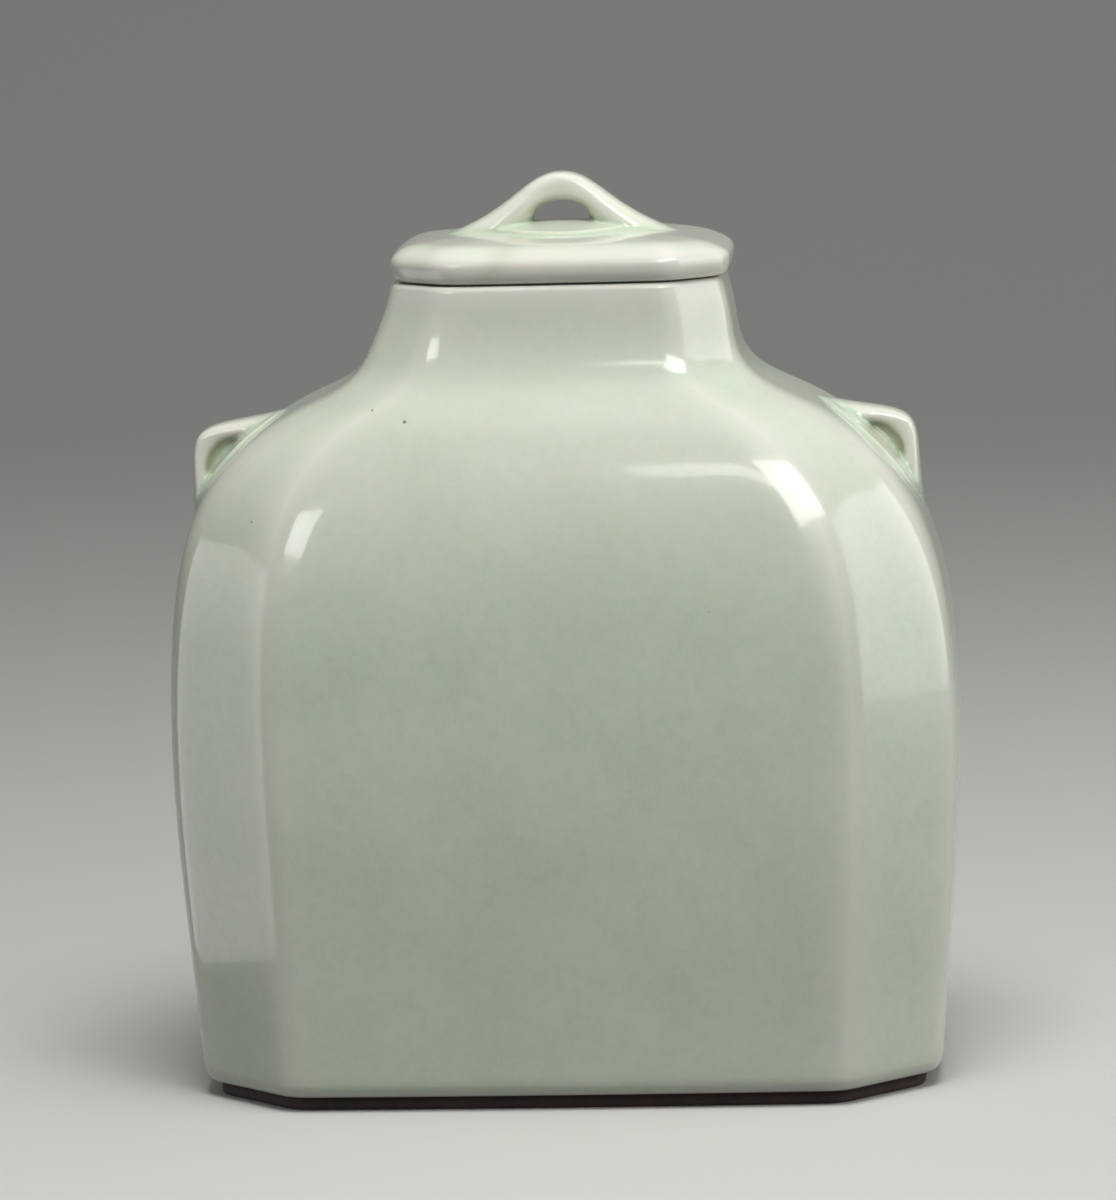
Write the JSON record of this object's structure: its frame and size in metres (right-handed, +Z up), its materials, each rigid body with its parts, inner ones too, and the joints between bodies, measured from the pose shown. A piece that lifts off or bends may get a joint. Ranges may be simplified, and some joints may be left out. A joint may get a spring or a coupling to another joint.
{
  "type": "lidded jar",
  "caption": "Flattened celadon jar with canted corners, curved shoulders, a waisted neck, strap loops on its shoulders and a domed lid that lifts off by its own loop.",
  "frame": {"origin": "on the surface that the jar stands on, under the middle of the foot", "axes": "+Z up through the neck and the lid's loop, +X along the width from the left shoulder loop to the right one, +Y from the front broad face to the back one"},
  "size_m": [0.1926, 0.113, 0.2223],
  "materials": {
    "celadon_glaze": "glossy pale grey-green feldspathic glaze, thinner and creamier on edges",
    "iron_brown_biscuit": "bare clay burnt dark brown, dry and matt",
    "bare_porcelain": "bare pale porcelain, dry and matt"
  },
  "bodies": {
    "jar": {"jar_body": "celadon_glaze", "neck_collar": "celadon_glaze", "base_slab": "celadon_glaze", "foot_ring": "iron_brown_biscuit", "left_lug_pad": "celadon_glaze", "left_lug_loop": "celadon_glaze", "right_lug_pad": "celadon_glaze", "right_lug_loop": "celadon_glaze"},
    "lid": {"lid_cover": "celadon_glaze", "lid_flange": "bare_porcelain", "lid_pad": "celadon_glaze", "lid_loop": "celadon_glaze"}
  },
  "joints": [
    {"name": "lid_lift", "type": "slide", "parent": "jar", "child": "lid", "axis": [0, 0, 1], "range_m": [0, 0.06]}
  ]
}
